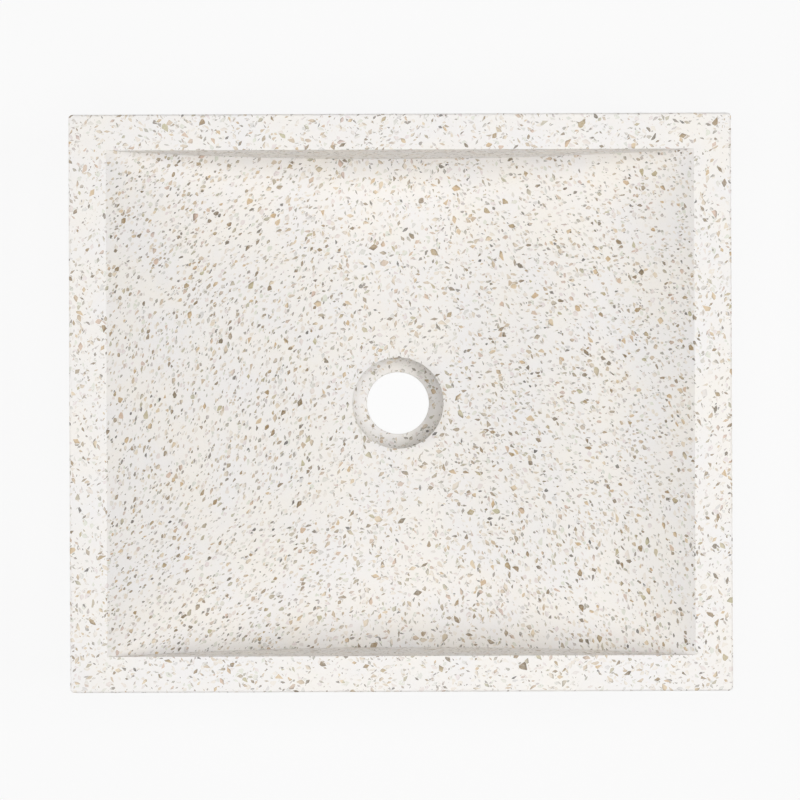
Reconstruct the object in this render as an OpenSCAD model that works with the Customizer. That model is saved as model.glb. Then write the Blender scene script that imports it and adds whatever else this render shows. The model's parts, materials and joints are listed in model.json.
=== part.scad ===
// Terrazzo vessel sink: a rectangular countertop basin with a dished floor and an open drain.
// A polished terrazzo casting stands on its foot, with a mortar backing, two foam void formers
// and galvanised steel reinforcement cast inside it.
// Origin: middle of the footprint, on the counter. +X to the right, +Y to the back, +Z up.

/* [Body] */
// Width of the casting from side to side
body_w = 470; // [420:5:560]
// Depth of the casting from front to back
body_d = 410; // [360:5:480]
// Height from the counter to the rim
body_h = 120; // [110:5:160]
// Radius of the four upright corners
corner_r = 3; // [2:0.5:10]
// Radius of the eased edge round the top
edge_r = 1.5; // [0.5:0.5:4]
// Chamfer round the foot
foot_chamfer = 1.5; // [0.5:0.5:4]

/* [Basin] */
// Width of the rim at the left and right
rim_side = 26.5; // [24:0.5:45]
// Width of the rim at the front and back
rim_end = 25.5; // [24:0.5:45]
// Height of the dish's lowest line above the counter
floor_t = 32; // [30:1:45]
// Thickness of the terrazzo under the dish
face_t = 14; // [10:1:16]

/* [Drain] */
// Radius of the drain hole
drain_r = 23; // [21:0.5:26]
// Radius of the recess round the hole, at the floor of the dish
seat_r = 33.5; // [30:0.5:35.5]
// Depth of the recess, from the floor of the dish to the edge of the hole
seat_depth = 12.5; // [12.5:0.5:15]
// Place of the drain, to the right of the middle
drain_x = -2; // [-20:1:20]
// Thickness of the terrazzo collar outside the recess
collar_t = 6; // [4:0.5:10]
// Bevel round the lower edge of the hole
bore_bevel = 1; // [0.5:0.5:2]

/* [Backing] */
// Height of the backing's underside above the counter
backing_step = 2; // [1:0.5:4]
// Mortar left round each void former
former_cover = 10; // [6:1:14]

/* [Reinforcement] */
// Diameter of the mesh wires
wire_d = 3; // [2:0.5:4]
// Distance between neighbouring mesh wires
mesh_pitch = 50; // [40:5:80]
// Mortar under the mesh
mesh_cover = 6; // [4:0.5:8]
// Mortar between the ends of the wires and the terrazzo
end_cover = 12; // [8:1:20]
// Depth to which crossing wires are pressed together at the welds
weld_sink = 0.5; // [0.3:0.1:0.8]
// Diameter of the edge bars
bar_d = 4; // [3:0.5:6]
// Bend radius of the hoops, to the middle of the bar
bend_r = 14; // [12:0.5:20]
// Depth of the upper hoop below the rim
hoop_drop = 18; // [14:1:30]
// Height of the lower hoop above the counter
hoop_rise = 18; // [14:1:24]
// How far the corner bars run past the hoops
bar_lap = 6; // [4:1:8]
// Space between a hoop and a corner bar
tie_gap = 0.4; // [0.3:0.1:1]

/* [Hidden] */
$fn = 96;

// Length by which a cutter runs past the face that it opens
over = 1;

// The opening between the rims, and the round arc of the dish
open_w = body_w - 2 * rim_side;
open_d = body_d - 2 * rim_end;
dish_h = body_h - floor_t;
dish_r = (pow(open_w / 2, 2) + pow(dish_h, 2)) / (2 * dish_h);
dish_z = floor_t + dish_r;

// The recess of the drain: a round cove, upright at the top
seat_w = seat_r - drain_r;
cove_r = (pow(seat_depth, 2) + pow(seat_w, 2)) / (2 * seat_w);
bore_top = floor_t - seat_depth;
collar_r = seat_r + collar_t;

// Levels in the backing
mesh_z = backing_step + mesh_cover + wire_d / 2;
cross_z = mesh_z + wire_d - weld_sink;
former_z = cross_z + wire_d / 2 + former_cover;
former_r = dish_r + face_t + former_cover;

// The hoops run along the middle of the walls
hoop_x = body_w / 2 - rim_side / 2;
hoop_y = body_d / 2 - rim_end / 2;

// Round rod along X
module rod_x(length, d) {
    rotate([0, 90, 0]) cylinder(h = length, d = d, center = true);
}

// Round rod along Y
module rod_y(length, d) {
    rotate([90, 0, 0]) cylinder(h = length, d = d, center = true);
}

// Round drum along Y whose underside is the dish, or a curve at a distance below it
module dish_drum(below, length) {
    translate([0, 0, dish_z]) rod_y(length, 2 * (dish_r + below));
}

// Outline of the footprint, with round corners
module footprint() {
    square([body_w - 2 * corner_r, body_d], center = true);
    square([body_w, body_d - 2 * corner_r], center = true);
    for (x = [-1, 1], y = [-1, 1])
        translate([x * (body_w / 2 - corner_r), y * (body_d / 2 - corner_r)]) circle(r = corner_r);
}

// Upright outline of the casting: chamfered at the foot and eased at the rim
module upright_outline(width) {
    half = width / 2;
    polygon([
        [-half + foot_chamfer, 0], [half - foot_chamfer, 0], [half, foot_chamfer], [half, body_h - edge_r],
        [-half, body_h - edge_r], [-half, foot_chamfer]
    ]);
    translate([-half + edge_r, body_h - 2 * edge_r]) square([width - 2 * edge_r, 2 * edge_r]);
    for (x = [-1, 1])
        translate([x * (half - edge_r), body_h - edge_r]) circle(r = edge_r);
}

// The outside of the casting, before anything is taken out of it
module block() {
    intersection() {
        linear_extrude(body_h) footprint();
        rotate([90, 0, 0]) linear_extrude(body_d + 2 * over, center = true) upright_outline(body_w);
        rotate([90, 0, 90]) linear_extrude(body_w + 2 * over, center = true) upright_outline(body_d);
    }
}

// The drain: recess with a cove, the hole, and the bevel under it
module drain_cut() {
    translate([drain_x, 0, 0]) {
        translate([0, 0, floor_t]) cylinder(r = seat_r, h = dish_h);
        rotate_extrude() intersection() {
            translate([0, bore_top]) square([seat_r, seat_depth]);
            union() {
                translate([0, bore_top]) square([drain_r, seat_depth]);
                translate([seat_r - cove_r, floor_t]) circle(r = cove_r);
            }
        }
        translate([0, 0, -over]) cylinder(r = drain_r, h = floor_t + over);
        translate([0, 0, -over]) cylinder(r1 = drain_r + bore_bevel + over, r2 = drain_r, h = bore_bevel + over);
    }
}

// Space under the dish that the backing fills, from the given height up, with the collar left standing
module pocket(bottom) {
    difference() {
        translate([-open_w / 2, -open_d / 2, bottom]) cube([open_w, open_d, body_h - bottom]);
        dish_drum(face_t, open_d + 2 * over);
        translate([drain_x, 0, bottom - over]) cylinder(r = collar_r, h = body_h);
    }
}

// Closed rectangular hoop of bar with bent corners
module hoop(height) {
    straight_x = 2 * (hoop_x - bend_r);
    straight_y = 2 * (hoop_y - bend_r);
    translate([0, 0, height]) {
        for (y = [-1, 1]) translate([0, y * hoop_y, 0]) rod_x(straight_x, bar_d);
        for (x = [-1, 1]) translate([x * hoop_x, 0, 0]) rod_y(straight_y, bar_d);
        for (turn = [0 : 3]) {
            x = (turn == 0 || turn == 3) ? 1 : -1;
            y = turn < 2 ? 1 : -1;
            translate([x * (hoop_x - bend_r), y * (hoop_y - bend_r), 0])
                rotate([0, 0, 90 * turn]) rotate_extrude(angle = 90) translate([bend_r, 0]) circle(d = bar_d);
        }
    }
}

// Terrazzo casting: rim, dish, front and back walls, outer walls, drain recess and collar
module terrazzo_bowl() {
    color([0.95, 0.93, 0.9])
    difference() {
        block();
        dish_drum(0, open_d);
        drain_cut();
        pocket(-over);
        rim_hoop();
        base_hoop();
        corner_bars();
    }
}

// Fibre-reinforced mortar that fills the casting under the dish
module backing_mortar() {
    color([0.72, 0.7, 0.66])
    difference() {
        pocket(backing_step);
        void_former(-1);
        void_former(1);
        floor_mesh();
    }
}

// Foam block that saves weight under one of the high sides of the dish: -1 is the left, 1 the right
module void_former(side) {
    inner_x = sqrt(pow(former_r, 2) - pow(dish_z - former_z, 2));
    outer_x = open_w / 2 - former_cover;
    length = open_d - 2 * former_cover;
    color([0.93, 0.95, 0.97])
    difference() {
        translate([side * (inner_x + outer_x) / 2, 0, former_z + dish_h / 2])
            cube([outer_x - inner_x, length, dish_h], center = true);
        dish_drum(face_t + former_cover, length + 2 * over);
    }
}

// Welded wire mesh in the floor, cut out round the drain
module floor_mesh() {
    reach_x = open_w / 2 - end_cover;
    reach_y = open_d / 2 - end_cover;
    color([0.66, 0.68, 0.7])
    difference() {
        union() {
            for (y = [mesh_pitch / 2 : mesh_pitch : reach_y - wire_d], side = [-1, 1])
                translate([0, side * y, mesh_z]) rod_x(2 * reach_x, wire_d);
            for (x = [mesh_pitch / 2 : mesh_pitch : reach_x - wire_d], side = [-1, 1])
                translate([side * x, 0, cross_z]) rod_y(2 * reach_y, wire_d);
        }
        translate([drain_x, 0, 0]) cylinder(r = collar_r + mesh_cover, h = body_h);
    }
}

// Upper hoop, inside the rim
module rim_hoop() {
    color([0.62, 0.64, 0.66]) hoop(body_h - hoop_drop);
}

// Lower hoop, inside the foot of the walls
module base_hoop() {
    color([0.62, 0.64, 0.66]) hoop(hoop_rise);
}

// Upright bars inside the bends of both hoops
module corner_bars() {
    inset = (bend_r - bar_d - tie_gap) / sqrt(2);
    low = hoop_rise - bar_lap;
    high = body_h - hoop_drop + bar_lap;
    color([0.62, 0.64, 0.66])
    for (x = [-1, 1], y = [-1, 1])
        translate([x * (hoop_x - bend_r + inset), y * (hoop_y - bend_r + inset), low])
            cylinder(d = bar_d, h = high - low);
}

terrazzo_bowl();
backing_mortar();
void_former(-1);  // void_former_left
void_former(1);  // void_former_right
floor_mesh();
rim_hoop();
base_hoop();
corner_bars();
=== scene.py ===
# Terrazzo vessel sink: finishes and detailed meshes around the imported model
import json
import math
from collections import namedtuple

import bmesh
import bpy
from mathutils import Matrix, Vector


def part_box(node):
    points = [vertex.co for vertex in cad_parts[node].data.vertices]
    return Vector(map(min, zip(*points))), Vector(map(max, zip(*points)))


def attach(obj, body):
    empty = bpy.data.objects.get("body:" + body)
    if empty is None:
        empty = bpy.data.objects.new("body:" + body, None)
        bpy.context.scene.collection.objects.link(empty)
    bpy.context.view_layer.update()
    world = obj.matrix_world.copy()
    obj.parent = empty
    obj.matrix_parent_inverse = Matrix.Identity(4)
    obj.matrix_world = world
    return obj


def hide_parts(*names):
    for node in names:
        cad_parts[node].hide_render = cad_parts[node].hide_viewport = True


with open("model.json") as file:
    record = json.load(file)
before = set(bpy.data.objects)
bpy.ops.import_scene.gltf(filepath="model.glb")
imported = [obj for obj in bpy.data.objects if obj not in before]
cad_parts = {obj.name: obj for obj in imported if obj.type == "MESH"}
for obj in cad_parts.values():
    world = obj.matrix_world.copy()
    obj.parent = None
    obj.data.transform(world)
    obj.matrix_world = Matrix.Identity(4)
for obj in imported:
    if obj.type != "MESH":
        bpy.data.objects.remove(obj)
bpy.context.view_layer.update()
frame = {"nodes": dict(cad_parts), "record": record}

MM = 0.001

# Sizes read from the frame, in metres. The mortar is as wide and as deep as the dish's opening.
LOW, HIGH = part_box("terrazzo_bowl")
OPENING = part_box("backing_mortar")[1]
DRAIN = next(m for m in frame["record"]["mounts"] if m["name"] == "drain_hole")
DRAIN_X = DRAIN["pos_m"][0]
DRAIN_R = DRAIN["dims"]["r_mm"] * MM
OPEN_X, OPEN_Y = OPENING.x, OPENING.y
RIM_Z = HIGH.z

# Sizes repeated from the source of the solids
CORNER_R = 3 * MM
EDGE_R = 1.5 * MM
FOOT_CHAMFER = 1.5 * MM
FLOOR_T = 32 * MM
FACE_T = 14 * MM
SEAT_R = 33.5 * MM
SEAT_DEPTH = 12.5 * MM
COLLAR_R = SEAT_R + 6 * MM
BORE_BEVEL = 1 * MM

# The round arc of the dish, about an axis along Y
DISH_H = RIM_Z - FLOOR_T
DISH_R = (OPEN_X**2 + DISH_H**2) / (2 * DISH_H)
DISH_Z = FLOOR_T + DISH_R

# The walls' meshes: steps of the round corners and edges, and how alike two directions or levels count as one
CORNER_SEGMENTS = 10
EDGE_SEGMENTS = 8
ROUND_PROFILE = 0.5
SAME_WAY = 0.99
SAME_LEVEL = 0.001 * MM

# The dish's mesh: half the square patch round the drain, the cells along its side, and its rings as shares of
# the way from the square to the hole
PATCH_HALF = 50 * MM
PATCH_CELLS = 24
RING_SHARES = (0.25, 0.5, 0.75, 1.0)
# Steps of the recess's cove, the easing of its upper edge, and the share of that which the first step takes
COVE_STEPS = 12
SEAT_EASE = 0.25 * MM
FIRST_EASE = 0.3

# The photograph looks down: its scale at the rim, how far the camera is above it, and its place and aim
IMAGE_PX = 800
RIM_PX_PER_M = 1410.9
CAMERA_ABOVE_RIM = 2.313
SENSOR_MM = 36
CAMERA_X = -0.0005
CAMERA_Y = -0.0065
CAMERA_TILT = math.radians(0.208)
CAMERA_ROLL = math.radians(-0.205)

# The studio: strength of the world's own light, share of the floor that shines instead of being lit, half the
# floor's side and how far it lies below the foot, and the width and depth of the softboxes, in metres
WORLD_FILL = 0.15
FLOOR_GLOW = 0.92
FLOOR_REACH = 6.0
FLOOR_DROP = 0.0002
SOFTBOX = (1.6, 1.0)
OVERHEAD_BOX = (1.6, 2.2)

# Each lamp's name, direction about Z from +X and height in degrees, distance in metres, watts, softbox, and
# whether surfaces mirror it. The side lamps would show as a pale band in the dish and as a glare on the rim.
LAMPS = [
    ("overhead", 270, 87.5, 2.8, 36.4, OVERHEAD_BOX, True),
    ("front", 270, 62, 4.0, 6, SOFTBOX, True),
    ("right", 0, 45, 4.0, 61, SOFTBOX, False),
    ("left", 180, 15, 4.0, 63.5, SOFTBOX, False),
]


def sheet_level(x, below=0.0):
    """Height of the dish at x, or of the curve that lies below it by a distance along the normal."""
    return DISH_Z - math.sqrt((DISH_R + below) ** 2 - x**2)


class Graph:
    """A short way to write the nodes of a material or world: each call adds a node and returns outputs."""

    def __init__(self, owner):
        self.owner = owner
        owner.use_nodes = True
        self.nodes = owner.node_tree.nodes
        self.links = owner.node_tree.links

    def add(self, kind, values=None, **settings):
        """Adds a node, sets its properties, and sets or links its inputs."""
        node = self.nodes.new(kind)
        for key, value in settings.items():
            setattr(node, key, value)
        for key, value in (values or {}).items():
            self.put(node.inputs[key], value)
        return node.outputs

    def put(self, socket, value):
        """Links an output to a socket, or sets the socket's own value."""
        if isinstance(value, bpy.types.NodeSocket):
            self.links.new(value, socket)
        else:
            socket.default_value = value

    def math(self, operation, a, b=0.0, c=0.0):
        """One number from up to three."""
        return self.add("ShaderNodeMath", {0: a, 1: b, 2: c}, operation=operation)[0]

    def vector(self, operation, a, b=(0.0, 0.0, 0.0)):
        """One vector from one or two."""
        return self.add("ShaderNodeVectorMath", {0: a, 1: b}, operation=operation)["Vector"]

    def scale(self, a, factor):
        """A vector times a number."""
        return self.add("ShaderNodeVectorMath", {0: a, "Scale": factor}, operation="SCALE")["Vector"]

    def length(self, a):
        """The length of a vector."""
        return self.add("ShaderNodeVectorMath", {0: a}, operation="LENGTH")["Value"]

    def turn(self, a, angle, back=False):
        """A vector turned about Z by an angle in radians, or turned back by it."""
        values = {"Vector": a, "Axis": (0.0, 0.0, 1.0), "Angle": angle}
        return self.add("ShaderNodeVectorRotate", values, rotation_type="AXIS_ANGLE", invert=back)[0]

    def split(self, a):
        """The three parts of a vector."""
        return self.add("ShaderNodeSeparateXYZ", {0: a})

    def channels(self, a):
        """The three parts of a colour."""
        return self.add("ShaderNodeSeparateColor", {0: a})

    def join(self, x, y, z):
        """A vector from its three parts."""
        return self.add("ShaderNodeCombineXYZ", {0: x, 1: y, 2: z})[0]

    def mix(self, factor, a, b, blend_type="MIX"):
        """A colour between two, or the first one blended with the second by a blend type.

        The node's sockets for colours go by number, because those for numbers have the same names.
        """
        node = self.nodes.new("ShaderNodeMix")
        node.data_type = "RGBA"
        node.blend_type = blend_type
        self.put(node.inputs[0], factor)
        self.put(node.inputs[6], a)
        self.put(node.inputs[7], b)
        return node.outputs[2]

    def blend(self, factor, a, b):
        """A number between two, from the same node's sockets for numbers."""
        return self.add("ShaderNodeMix", {0: factor, 2: a, 3: b})[0]

    def remap(self, value, low, high, new_low=0.0, new_high=1.0):
        """A number moved from one range to another, held within it."""
        values = {0: value, 1: low, 2: high, 3: new_low, 4: new_high}
        return self.add("ShaderNodeMapRange", values)[0]

    def noise(self, place, size, detail=2.0, roughness=0.5):
        """Soft noise whose lumps are about size millimetres across."""
        values = {"Vector": place, "Scale": 1.0 / size, "Detail": detail, "Roughness": roughness}
        return self.add("ShaderNodeTexNoise", values, noise_dimensions="3D")

    def ramp(self, value, stops):
        """A colour ramp with (place, colour) stops, from the first place to the last."""
        node = self.nodes.new("ShaderNodeValToRGB")
        elements = node.color_ramp.elements
        while len(elements) < len(stops):
            elements.new(stops[-1][0])
        for element, (place, colour) in zip(elements, stops):
            element.position = place
            element.color = colour
        self.put(node.inputs[0], value)
        return node.outputs[0]

    def millimetres(self):
        """The place on the object, in millimetres of the shared frame."""
        return self.scale(self.add("ShaderNodeTexCoord")["Object"], 1 / MM)

    def bump(self, height, depth):
        """A normal from a height of 0 to 1 that stands for a depth in metres."""
        return self.add("ShaderNodeBump", {"Height": height, "Distance": depth, "Strength": 1.0})[0]

    def seen_directly(self):
        """1 for a ray that shows a surface, also in a mirror or glass, and 0 for one that only lights it."""
        path = self.add("ShaderNodeLightPath")
        either = self.math("MAXIMUM", path["Is Camera Ray"], path["Is Glossy Ray"])
        return self.math("MAXIMUM", either, path["Is Transmission Ray"])

    def surface(self, factor, a, b):
        """Puts a blend of two shaders on the output."""
        blend = self.add("ShaderNodeMixShader", {0: factor, 1: a, 2: b})[0]
        output = next(node for node in self.nodes if node.type.startswith("OUTPUT"))
        self.put(output.inputs[0], blend)
        return self.owner

    def finish(self, **sockets):
        """Sets the shader's sockets by their names, with spaces as underscores."""
        shader = self.nodes["Principled BSDF"]
        for key, value in sockets.items():
            self.put(shader.inputs[key.replace("_", " ")], value)
        return self.owner


def srgb(red, green, blue):
    """A linear colour with an alpha of 1, from display values of 0 to 255 on the standard curve."""

    def linear(value):
        value /= 255
        return value / 12.92 if value <= 0.04045 else ((value + 0.055) / 1.055) ** 2.4

    return (linear(red), linear(green), linear(blue), 1.0)


# The studio's colours
WHITE = srgb(255, 255, 255)
BACKDROP = srgb(250, 250, 250)
FLOOR_SHOWN = srgb(252, 252, 252)
FLOOR_PAINT = srgb(233, 233, 233)

# White cement in two tones, the tone of its coarser grains, and the grey painted round the drain as painted
# shade
COOL_CEMENT = srgb(242, 240, 239)
WARM_CEMENT = srgb(245, 241, 235)
COARSE_CEMENT = srgb(228, 223, 215)
RECESS_SHADE_GREY = srgb(186, 182, 176)
# What the chips are dusted with, and what darkens them towards one side
CHIP_DUST = srgb(244, 240, 236)
CHIP_SHADE = srgb(115, 104, 85)

# What is cast in
MORTAR_PALE = srgb(196, 191, 181)
MORTAR_DARK = srgb(176, 171, 162)
MORTAR_SAND = srgb(148, 141, 130)
FOAM_SEAM = srgb(214, 218, 222)
FOAM_BEAD = srgb(242, 244, 246)
ZINC_DARK = srgb(168, 172, 176)
ZINC_PALE = srgb(198, 201, 204)

# Marble chips: each tone and its place on the ramp that a chip's random number picks from
PALE_CHIPS = [
    (0.00, srgb(237, 232, 225)),
    (0.35, srgb(230, 222, 209)),
    (0.60, srgb(227, 217, 216)),
    (0.80, srgb(220, 222, 208)),
    (1.00, srgb(214, 211, 209)),
]
WARM_CHIPS = [
    (0.00, srgb(226, 216, 201)),
    (0.12, srgb(220, 203, 174)),
    (0.27, srgb(210, 186, 148)),
    (0.42, srgb(196, 166, 120)),
    (0.55, srgb(210, 184, 167)),
    (0.66, srgb(186, 179, 142)),
    (0.77, srgb(172, 149, 107)),
    (0.89, srgb(146, 118, 71)),
    (1.00, srgb(103, 86, 49)),
]
TAN_CHIPS = [
    (0.00, srgb(225, 217, 206)),
    (0.14, srgb(217, 204, 184)),
    (0.30, srgb(205, 189, 166)),
    (0.45, srgb(192, 170, 139)),
    (0.57, srgb(206, 185, 175)),
    (0.68, srgb(184, 179, 154)),
    (0.79, srgb(171, 155, 130)),
    (0.90, srgb(144, 123, 92)),
    (1.00, srgb(100, 88, 66)),
]
GREY_CHIPS = [
    (0.00, srgb(220, 216, 208)),
    (0.20, srgb(204, 199, 191)),
    (0.36, srgb(194, 185, 183)),
    (0.50, srgb(187, 175, 161)),
    (0.64, srgb(172, 170, 156)),
    (0.78, srgb(157, 149, 140)),
    (0.90, srgb(128, 117, 102)),
    (0.97, srgb(92, 85, 77)),
    (1.00, srgb(66, 62, 57)),
]
FINE_CHIPS = [
    (0.00, srgb(220, 217, 210)),
    (0.30, srgb(204, 200, 193)),
    (0.50, srgb(193, 187, 184)),
    (0.70, srgb(178, 174, 165)),
    (0.85, srgb(161, 156, 149)),
    (1.00, srgb(120, 115, 108)),
]

# A grade of chips: its cell and its longest half length in millimetres, the share of cells filled, the
# narrowest and the widest shape, how much a chip darkens towards one side at most, and the tones
Grade = namedtuple("Grade", "cell reach keep slim wide darkest tones")
# From the lowest to the one on top
GRADES = [
    Grade(4.4, 3.9, 0.92, 0.34, 0.74, 0.25, PALE_CHIPS),
    Grade(2.5, 2.3, 0.14, 0.16, 0.40, 0.50, FINE_CHIPS),
    Grade(3.8, 3.0, 0.70, 0.26, 0.58, 0.70, GREY_CHIPS),
    Grade(5.1, 3.9, 0.80, 0.32, 0.62, 0.85, TAN_CHIPS),
    Grade(6.2, 4.7, 0.33, 0.38, 0.68, 0.95, WARM_CHIPS),
]
# Turn of the first grade's cells about X, Y and Z in radians, and what each further grade adds
FIRST_TURN = (0.5, 0.7, 0.0)
NEXT_TURN = (0.9, -0.4, 1.1)
# How unevenly the cells are spread, 0 to 1
CELL_SPREAD = 0.8
# The shortest chip as a share of the longest, and a chip's depth as a share of its length
SHORTEST = 0.4
CHIP_DEPTH = 0.6
# Where a chip fades out, as shares of its half length
CHIP_EDGE = (0.94, 1.02)
# How far a chip's slanting sides cut into its round shape: 0.6 not at all, 1 to a full diamond
SLANT = 0.86
# The cement that beds a chip parts it from those below: where that starts to thin out and ends
BED = (1.05, 1.35)
# A chip's flat sides, and the least and most that they are away from its middle, as shares of its half length
FLAT_COUNT = 3
FLAT_SIDES = (0.3, 1.0)
# How much a chip's shade leans to one side, where it starts and is full, and how ragged the chips' edges are
# in millimetres
SHADE_LEAN = 0.9
SHADE_BAND = (0.6, 1.7)
RAGGED = 0.35

# The lean of the chips: places in millimetres from the middle of the dish, and angles from the X axis. At the
# left it goes by the distance from the middle line, and at the right by Y, from the front to the back.
LEFT_BAND = (40.0, 100.0)
LEFT_LEAN = (math.radians(66), math.radians(38))
RIGHT_BAND = (-95.0, -65.0)
RIGHT_LEAN = (math.radians(118), math.radians(154))
SIDE_RIM_LEAN = math.radians(85)
END_RIM_LEAN = 0.0
# How far either side of it they spread, and how far from the middle they start to lean and lean fully
MIDDLE_SPREAD = math.radians(90)
LEFT_SPREAD = math.radians(22)
RIGHT_SPREAD = math.radians(50)
RIM_SPREAD = math.radians(72)
PULL_BAND = (15.0, 100.0)

# How much painted shade greys the recess round the drain and the hole's lip, and the lip's width in
# millimetres
RECESS_SHADE = 0.10
LIP_SHADE = 0.40
LIP_W = 0.8


def chip_lean(g, seed):
    """Middle of a chip's random direction about Z, and the spread either side of it, in radians.

    The chips lie as the wet mix ran: along the rims, and in the dish along slanting lines, steep at the left
    and in the front right corner, and flatter elsewhere. In the middle of the dish they lie at random.
    """
    x, y, _ = g.split(seed)
    away_x, away_y = g.math("ABSOLUTE", x), g.math("ABSOLUTE", y)
    left = g.remap(away_y, *LEFT_BAND, *LEFT_LEAN)
    right = g.remap(y, *RIGHT_BAND, *RIGHT_LEAN)
    on_right = g.math("GREATER_THAN", x, 0.0)
    pull = g.remap(away_x, *PULL_BAND)
    lean = g.blend(on_right, left, right)
    spread = g.blend(pull, MIDDLE_SPREAD, g.blend(on_right, LEFT_SPREAD, RIGHT_SPREAD))
    on_side = g.math("GREATER_THAN", away_x, OPEN_X / MM)
    on_end = g.math("GREATER_THAN", away_y, OPEN_Y / MM)
    lean = g.blend(on_end, g.blend(on_side, lean, SIDE_RIM_LEAN), END_RIM_LEAN)
    return lean, g.blend(g.math("MAXIMUM", on_side, on_end), spread, RIM_SPREAD)


def chip_layer(g, place, grade, turn):
    """One grade of chips, at most one in each random cell. The cells are turned, so no face lies along them.

    Returns whether a point is in a chip, whether it is in or just round one, how near it is to the chip's
    edge, the chip's tone, how far the point is to one side of it, and a random number of the chip.
    """
    values = {"Vector": place, "Rotation": turn}
    turned = g.add("ShaderNodeVectorRotate", values, rotation_type="EULER_XYZ")[0]
    values = {"Vector": g.scale(turned, 1 / grade.cell), "Scale": 1.0, "Randomness": CELL_SPREAD}
    grid = g.add("ShaderNodeTexVoronoi", values, voronoi_dimensions="3D")
    values = {"Vector": g.scale(grid["Position"], grade.cell), "Rotation": turn}
    seed = g.add("ShaderNodeVectorRotate", values, rotation_type="EULER_XYZ", invert=True)[0]
    first = g.channels(grid["Color"])
    dice = g.add("ShaderNodeTexWhiteNoise", {"Vector": grid["Position"]}, noise_dimensions="3D")
    more = g.add("ShaderNodeTexWhiteNoise", {"Vector": seed}, noise_dimensions="3D")
    second = g.channels(dice["Color"])
    lean, spread = chip_lean(g, seed)
    angle = g.math("MULTIPLY_ADD", g.remap(first[0], 0.0, 1.0, -1.0, 1.0), spread, lean)
    offset = g.turn(g.vector("SUBTRACT", place, seed), angle, back=True)
    length = g.math("MULTIPLY", g.remap(second[0], 0.0, 1.0, SHORTEST, 1.0), grade.reach)
    width = g.math("MULTIPLY", length, g.remap(second[1], 0.0, 1.0, grade.slim, grade.wide))
    depth = g.math("MULTIPLY", length, CHIP_DEPTH)
    local = g.vector("DIVIDE", offset, g.join(length, width, depth))
    edge = g.length(local)
    slanted = {0: g.vector("ABSOLUTE", local), 1: (SLANT, SLANT, SLANT)}
    edge = g.math("MAXIMUM", edge, g.add("ShaderNodeVectorMath", slanted, operation="DOT_PRODUCT")["Value"])
    u, v, _ = g.split(g.turn(local, g.math("MULTIPLY", first[1], math.tau)))
    for number, away in enumerate(g.channels(more["Color"])):
        facing = math.tau * number / FLAT_COUNT
        across, along = g.math("MULTIPLY", u, math.cos(facing)), g.math("MULTIPLY", v, math.sin(facing))
        reached = g.math("ADD", across, along)
        edge = g.math("MAXIMUM", edge, g.math("DIVIDE", reached, g.remap(away, 0.0, 1.0, *FLAT_SIDES)))
    filled = g.math("LESS_THAN", first[2], grade.keep)
    inside = g.math("MULTIPLY", g.remap(edge, *CHIP_EDGE, 1.0, 0.0), filled)
    around = g.math("MULTIPLY", g.remap(edge, *BED, 1.0, 0.0), filled)
    return inside, around, edge, g.ramp(second[2], grade.tones), u, more["Value"]


def from_drain(g, place):
    """Distance of a place from the drain's axis, in millimetres."""
    across = g.vector("SUBTRACT", place, (DRAIN_X / MM, 0.0, 0.0))
    return g.length(g.vector("MULTIPLY", across, (1.0, 1.0, 0.0)))


def terrazzo():
    """White cement full of marble chips, honed and sealed. The chips are solid, so they run on round edges.

    The recess round the drain is greyed with painted shade, most at the hole's lip.
    """
    g = Graph(bpy.data.materials.new("terrazzo"))
    place = g.millimetres()
    cloud = g.noise(place, size=34.0, detail=3.0)["Fac"]
    grain = g.noise(place, size=1.1, detail=2.0, roughness=0.65)
    middle = (0.5, 0.5, 0.5)
    ragged = g.scale(g.vector("SUBTRACT", g.join(*g.channels(grain["Color"])), middle), RAGGED)
    grain = grain["Fac"]
    place = g.vector("ADD", place, ragged)
    cement = g.mix(g.remap(cloud, low=0.35, high=0.65), COOL_CEMENT, WARM_CEMENT)
    cement = g.mix(g.remap(grain, low=0.5, high=0.75, new_high=0.3), cement, COARSE_CEMENT)
    colour = cement
    roughness = g.remap(grain, low=0.3, high=0.7, new_low=0.38, new_high=0.48)
    for number, grade in enumerate(GRADES):
        turn = tuple(start + number * step for start, step in zip(FIRST_TURN, NEXT_TURN))
        inside, around, edge, chip, side, dice = chip_layer(g, place, grade, turn)
        chip = g.mix(g.remap(grain, low=0.35, high=0.7, new_high=0.3), chip, CHIP_DUST)
        shade = g.remap(g.math("MULTIPLY_ADD", side, SHADE_LEAN, edge), *SHADE_BAND, new_high=grade.darkest)
        chip = g.mix(g.math("MULTIPLY", shade, dice), chip, CHIP_SHADE, "MULTIPLY")
        colour = g.mix(inside, g.mix(around, colour, cement), chip)
        polish = g.remap(dice, low=0.0, high=1.0, new_low=0.26, new_high=0.36)
        roughness = g.blend(inside, roughness, polish)
    # Painted shade: grey mixed into the recess round the drain, strongest at the hole's lip
    away = from_drain(g, place)
    in_recess = g.math("LESS_THAN", away, SEAT_R / MM)
    skin = g.remap(away, DRAIN_R / MM, DRAIN_R / MM + LIP_W, LIP_SHADE, RECESS_SHADE)
    colour = g.mix(g.math("MULTIPLY", in_recess, skin), colour, RECESS_SHADE_GREY)
    return g.finish(Base_Color=colour, Roughness=roughness, Normal=g.bump(grain, depth=0.01 * MM), IOR=1.5)


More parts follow.
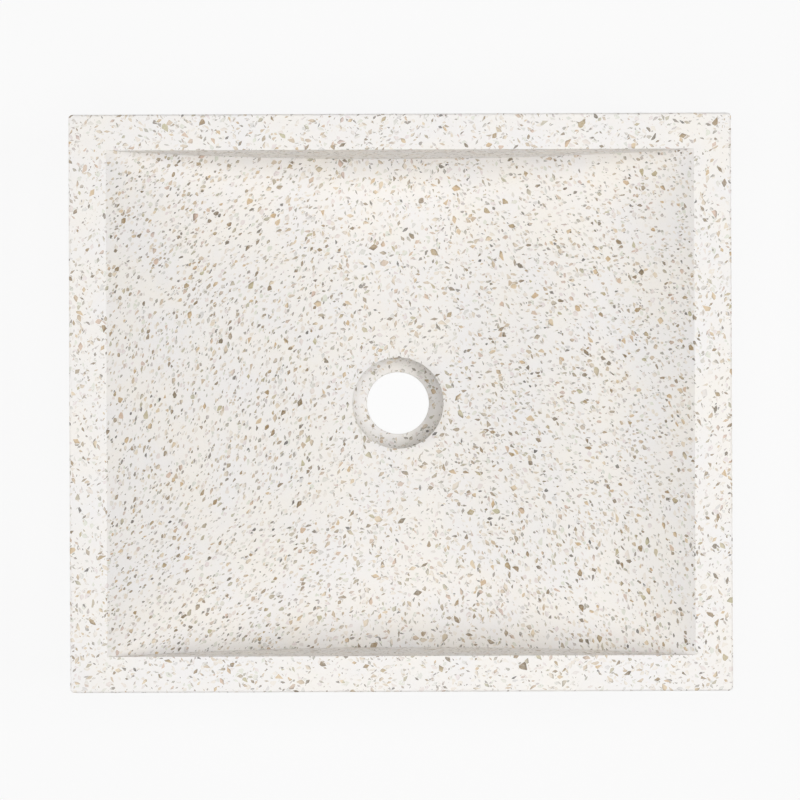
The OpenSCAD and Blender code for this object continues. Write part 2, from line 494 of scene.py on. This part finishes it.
def mortar():
    """Grey fibre-reinforced mortar, trowelled by hand."""
    g = Graph(bpy.data.materials.new("mortar"))
    place = g.millimetres()
    cloud = g.noise(place, size=60.0, detail=4.0)["Fac"]
    sand = g.noise(place, size=0.9, detail=4.0, roughness=0.75)["Fac"]
    sweeps = {"Vector": place, "Scale": 0.012, "Distortion": 14.0, "Detail": 3.0, "Detail Scale": 0.6}
    trowel = g.add("ShaderNodeTexWave", sweeps, wave_type="RINGS")["Fac"]
    colour = g.mix(cloud, MORTAR_PALE, MORTAR_DARK)
    colour = g.mix(g.remap(sand, low=0.45, high=0.8, new_high=0.7), colour, MORTAR_SAND)
    trowel_share, sand_share = 0.6, 0.4
    relief = g.math("ADD", g.math("MULTIPLY", trowel, trowel_share), g.math("MULTIPLY", sand, sand_share))
    roughness = g.remap(sand, low=0.3, high=0.7, new_low=0.8, new_high=0.95)
    return g.finish(Base_Color=colour, Roughness=roughness, Normal=g.bump(relief, depth=0.4 * MM))


def foam():
    """White expanded polystyrene: pressed beads."""
    g = Graph(bpy.data.materials.new("foam"))
    pressed = {"Vector": g.millimetres(), "Scale": 0.28}
    beads = g.add("ShaderNodeTexVoronoi", pressed, feature="DISTANCE_TO_EDGE")[0]
    dome = g.remap(beads, low=0.0, high=0.12)
    colour = g.mix(dome, FOAM_SEAM, FOAM_BEAD)
    roughness = g.remap(dome, low=0.0, high=1.0, new_low=0.85, new_high=0.6)
    return g.finish(Base_Color=colour, Roughness=roughness, Normal=g.bump(dome, depth=0.3 * MM))


def galvanised():
    """Zinc-coated wire and bar with faint crystals."""
    g = Graph(bpy.data.materials.new("galvanised_steel"))
    place = g.millimetres()
    crystals = g.add("ShaderNodeTexVoronoi", {"Vector": place, "Scale": 0.35})["Color"]
    dull = g.noise(place, size=3.0, detail=3.0)["Fac"]
    colour = g.mix(g.split(crystals)[0], ZINC_DARK, ZINC_PALE)
    roughness = g.remap(dull, low=0.3, high=0.7, new_low=0.38, new_high=0.58)
    return g.finish(
        Base_Color=colour,
        Metallic=0.9,
        Roughness=roughness,
        Normal=g.bump(dull, depth=0.02 * MM),
    )


def piece(name, mesh, material, slot, *nodes):
    """Makes a mesh a piece of the object that stands for CAD nodes and takes a finish."""
    mesh.materials.append(material)
    obj = bpy.data.objects.new(name, mesh)
    bpy.context.scene.collection.objects.link(obj)
    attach(obj, "root")
    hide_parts(*nodes)
    return obj


def smooth(mesh, sharp_from):
    """Shades a mesh smooth, but for edges sharper than an angle in degrees."""
    mesh.polygons.foreach_set("use_smooth", [True] * len(mesh.polygons))
    mesh.set_sharp_from_angle(angle=math.radians(sharp_from))
    mesh.update()


def outer_edges(bm, joints, along):
    """The edges that run along the given test and touch no joint face."""
    found = []
    for edge in bm.edges:
        normals = [face.normal for face in edge.link_faces]
        touches = any(normal.dot(joint) > SAME_WAY for normal in normals for joint in joints)
        if along(edge) and not touches:
            found.append(edge)
    return found


def cast_wall(name, low, high, joints):
    """One wall of the casting: a block with round upright corners, an eased rim and a chamfered foot.

    joints are the outward normals of the faces that meet the rest of the casting, whose edges stay sharp.
    """
    bm = bmesh.new()
    bmesh.ops.create_cube(bm, size=1.0)
    for vert in bm.verts:
        vert.co = Vector(near if part < 0 else far for part, near, far in zip(vert.co, low, high))

    def bevel(along, offset, segments):
        bm.normal_update()
        shape = {"offset": offset, "segments": segments, "profile": ROUND_PROFILE, "affect": "EDGES"}
        bmesh.ops.bevel(bm, geom=outer_edges(bm, joints, along), **shape)

    def at_level(level):
        return lambda edge: all(abs(vert.co.z - level) < SAME_LEVEL for vert in edge.verts)

    bevel(lambda edge: abs(edge.verts[0].co.z - edge.verts[1].co.z) > CORNER_R, CORNER_R, CORNER_SEGMENTS)
    bevel(at_level(high[2]), EDGE_R, EDGE_SEGMENTS)
    bevel(at_level(low[2]), FOOT_CHAMFER, 1)
    mesh = bpy.data.meshes.new(name)
    bm.to_mesh(mesh)
    bm.free()
    smooth(mesh, sharp_from=40)
    return mesh


def spaced(start, stop, step):
    """Places from start to stop at about step, both ends included."""
    count = max(1, round((stop - start) / step))
    return [start + (stop - start) * i / count for i in range(count + 1)]


def square_point(turn):
    """The point of the patch's square outline at a turn of 0 to 1, and the same point's angle on a circle."""
    side, along = divmod(turn * 4, 1)
    x, y = PATCH_HALF, -PATCH_HALF + along * 2 * PATCH_HALF
    angle = math.pi / 2 * (side + along) - math.pi / 4
    for _ in range(int(side)):
        x, y = -y, x
    return x, y, angle


def recess_stations():
    """The drain's outline from the recess down to the collar's foot: radii, each with its height.

    A height is a number, or follows x where the recess meets the curved dish.
    """
    seat_w = SEAT_R - DRAIN_R
    cove_r = (SEAT_DEPTH**2 + seat_w**2) / (2 * seat_w)
    sweep = math.asin(SEAT_DEPTH / cove_r)
    first = SEAT_EASE * FIRST_EASE
    stations = [(SEAT_R + first, lambda x: sheet_level(x) - first)]
    stations += [(SEAT_R, lambda x: sheet_level(x) - SEAT_EASE)]
    for k in range(COVE_STEPS + 1):
        angle = sweep * k / COVE_STEPS
        radius = SEAT_R - cove_r * (1 - math.cos(angle))
        stations.append((radius, FLOOR_T - SEAT_EASE - (cove_r - SEAT_EASE) * math.sin(angle)))
    return stations + [(DRAIN_R, BORE_BEVEL), (DRAIN_R + BORE_BEVEL, LOW.z), (COLLAR_R, LOW.z)]


def dish_mesh():
    """The dish with its drain as one closed skin: a curved slab with a recess, a bore and a long collar."""
    half = PATCH_HALF
    step = 2 * half / PATCH_CELLS
    xs = spaced(-OPEN_X, DRAIN_X - half, step)[:-1] + spaced(DRAIN_X - half, DRAIN_X + half, step)
    xs += spaced(DRAIN_X + half, OPEN_X, step)[1:]
    ys = spaced(-OPEN_Y, -half, step)[:-1] + spaced(-half, half, step) + spaced(half, OPEN_Y, step)[1:]
    turns = [k / (4 * PATCH_CELLS) for k in range(4 * PATCH_CELLS)]
    bm = bmesh.new()

    def in_patch(x, y, reach):
        return abs(x - DRAIN_X) < reach and abs(y) < reach

    def patch_outline():
        """The grid's points along the patch's square, from its front right corner and round by the back."""
        i, j, count = xs.index(DRAIN_X - half), ys.index(-half), PATCH_CELLS
        outline = [(i + count, j + k) for k in range(count)]
        outline += [(i + count - k, j + count) for k in range(count)]
        outline += [(i, j + count - k) for k in range(count)]
        return outline + [(i + k, j) for k in range(count)]

    def skin(level, hole_r):
        """Vertices of one face of the slab: a grid with a square gap, and the rings from that to the hole."""
        grid = {}
        for i, x in enumerate(xs):
            for j, y in enumerate(ys):
                if not in_patch(x, y, half - step / 2):
                    grid[i, j] = bm.verts.new((x, y, level(x)))
        rings = [[grid[key] for key in patch_outline()]]
        for share in RING_SHARES:
            ring = []
            for turn in turns:
                x, y, angle = square_point(turn)
                x = DRAIN_X + x * (1 - share) + hole_r * math.cos(angle) * share
                y = y * (1 - share) + hole_r * math.sin(angle) * share
                ring.append(bm.verts.new((x, y, level(x))))
            rings.append(ring)
        return grid, rings

    def add(corners, turn_over=False):
        bm.faces.new(corners[::-1] if turn_over else corners)

    def bridge(outer, inner, turn_over=False):
        for k in range(len(outer)):
            n = (k + 1) % len(outer)
            add([outer[k], outer[n], inner[n], inner[k]], turn_over)

    def fill(grid, rings, turn_over=False):
        """Faces of the grid outside the patch, and those between the rings."""
        for i in range(len(xs) - 1):
            for j in range(len(ys) - 1):
                if not in_patch((xs[i] + xs[i + 1]) / 2, (ys[j] + ys[j + 1]) / 2, half):
                    add([grid[c] for c in ((i, j), (i + 1, j), (i + 1, j + 1), (i, j + 1))], turn_over)
        for outer, inner in zip(rings, rings[1:]):
            bridge(outer, inner, turn_over)

    def circle(radius, height):
        """A ring of vertices round the drain, at a height that is a number or follows x."""
        ring = []
        for turn in turns:
            angle = square_point(turn)[2]
            x, y = DRAIN_X + radius * math.cos(angle), radius * math.sin(angle)
            ring.append(bm.verts.new((x, y, height(x) if callable(height) else height)))
        return ring

    top, top_rings = skin(sheet_level, SEAT_R + SEAT_EASE)
    under, under_rings = skin(lambda x: sheet_level(x, FACE_T), COLLAR_R)
    fill(top, top_rings)
    fill(under, under_rings, turn_over=True)
    last = top_rings[-1]
    for radius, height in recess_stations():
        ring = circle(radius, height)
        bridge(last, ring)
        last = ring
    bridge(last, under_rings[-1])
    columns, rows = range(len(xs)), range(len(ys))
    loop = [(i, 0) for i in columns] + [(len(xs) - 1, j) for j in rows[1:]]
    loop += [(i, len(ys) - 1) for i in reversed(columns[:-1])] + [(0, j) for j in reversed(rows[1:-1])]
    bridge([under[key] for key in loop], [top[key] for key in loop])
    mesh = bpy.data.meshes.new("casting_dish")
    bm.to_mesh(mesh)
    bm.free()
    smooth(mesh, sharp_from=35)
    return mesh


def build_casting(material):
    """The terrazzo casting, as four walls and the dish between them. They meet flush, so no joint shows."""
    front, back, left, right = Vector((0, -1, 0)), Vector((0, 1, 0)), Vector((-1, 0, 0)), Vector((1, 0, 0))
    walls = {
        "casting_front": ((LOW.x, LOW.y, LOW.z), (HIGH.x, -OPEN_Y, RIM_Z), [back]),
        "casting_back": ((LOW.x, OPEN_Y, LOW.z), (HIGH.x, HIGH.y, RIM_Z), [front]),
        "casting_left": ((LOW.x, -OPEN_Y, LOW.z), (-OPEN_X, OPEN_Y, RIM_Z), [right, front, back]),
        "casting_right": ((OPEN_X, -OPEN_Y, LOW.z), (HIGH.x, OPEN_Y, RIM_Z), [left, front, back]),
    }
    for name, (low, high, joints) in walls.items():
        wall = piece(name, cast_wall(name, low, high, joints), material, "terrazzo", "terrazzo_bowl")
        normals = wall.modifiers.new("flat_faces", "WEIGHTED_NORMAL")
        normals.keep_sharp = True
    piece("casting_dish", dish_mesh(), material, "terrazzo", "terrazzo_bowl")


def finish_nodes(material, *names):
    """Gives CAD nodes their material."""
    for name in names:
        mesh = frame["nodes"][name].data
        mesh.materials.clear()
        mesh.materials.append(material)


def build_floor():
    """A plain pale floor that keeps the sink's shadow. Under the drain it glows fully: painted light that
    keeps the hole white.
    """
    mesh = bpy.data.meshes.new("floor")
    corners = [(x * FLOOR_REACH, y * FLOOR_REACH, 0) for x, y in ((-1, -1), (1, -1), (1, 1), (-1, 1))]
    mesh.from_pydata(corners, [], [(0, 1, 2, 3)])
    floor = bpy.data.objects.new("floor", mesh)
    floor.location.z = -FLOOR_DROP
    bpy.context.scene.collection.objects.link(floor)
    g = Graph(bpy.data.materials.new("floor"))
    g.nodes.remove(g.nodes["Principled BSDF"])
    away = from_drain(g, g.millimetres())
    # Painted light: the floor glows fully under the drain, fading to its usual share at the recess's edge
    share = g.math("MULTIPLY", g.seen_directly(), g.remap(away, DRAIN_R / MM, SEAT_R / MM, 1.0, FLOOR_GLOW))
    paint = g.add("ShaderNodeBsdfDiffuse", {"Color": FLOOR_PAINT})[0]
    glow = g.add("ShaderNodeEmission", {"Color": FLOOR_SHOWN})[0]
    mesh.materials.append(g.surface(share, paint, glow))


def add_lamp(name, turn, height, distance, watts, size, mirrored):
    """A rectangular softbox that faces the middle of the rim."""
    lamp = bpy.data.lights.new(name, "AREA")
    lamp.shape = "RECTANGLE"
    lamp.size, lamp.size_y = size
    lamp.energy = watts
    obj = bpy.data.objects.new(name, lamp)
    turn, height = math.radians(turn), math.radians(height)
    away = Vector((math.cos(turn) * math.cos(height), math.sin(turn) * math.cos(height), math.sin(height)))
    obj.location = Vector((0, 0, RIM_Z)) + distance * away
    obj.rotation_euler = away.to_track_quat("Z", "Y").to_euler()
    obj.visible_glossy = mirrored
    bpy.context.scene.collection.objects.link(obj)


def build_light():
    """A world that shows as the pale backdrop but gives little light, and the lamps."""
    world = bpy.data.worlds.new("studio")
    bpy.context.scene.world = world
    g = Graph(world)
    fill = g.nodes["Background"]
    fill.inputs["Color"].default_value = WHITE
    fill.inputs["Strength"].default_value = WORLD_FILL
    backdrop = g.add("ShaderNodeBackground", {"Color": BACKDROP, "Strength": 1.0})[0]
    g.surface(g.seen_directly(), fill.outputs[0], backdrop)
    for lamp in LAMPS:
        add_lamp(*lamp)


def build_camera():
    """The photograph's camera: far above, a hair to the front, and aimed at the middle with a small roll."""
    camera = bpy.data.cameras.new("camera")
    camera.sensor_width = SENSOR_MM
    camera.lens = RIM_PX_PER_M * CAMERA_ABOVE_RIM * SENSOR_MM / IMAGE_PX
    obj = bpy.data.objects.new("camera", camera)
    obj.location = (CAMERA_X, CAMERA_Y, RIM_Z + CAMERA_ABOVE_RIM)
    obj.rotation_euler = (CAMERA_TILT, 0, CAMERA_ROLL)
    bpy.context.scene.collection.objects.link(obj)
    bpy.context.scene.camera = obj


build_camera()
build_light()
build_floor()
build_casting(terrazzo())
finish_nodes(mortar(), "backing_mortar")
finish_nodes(foam(), "void_former_left", "void_former_right")
finish_nodes(galvanised(), "floor_mesh", "rim_hoop", "base_hoop", "corner_bars")
bpy.context.scene.view_settings.view_transform = "Standard"
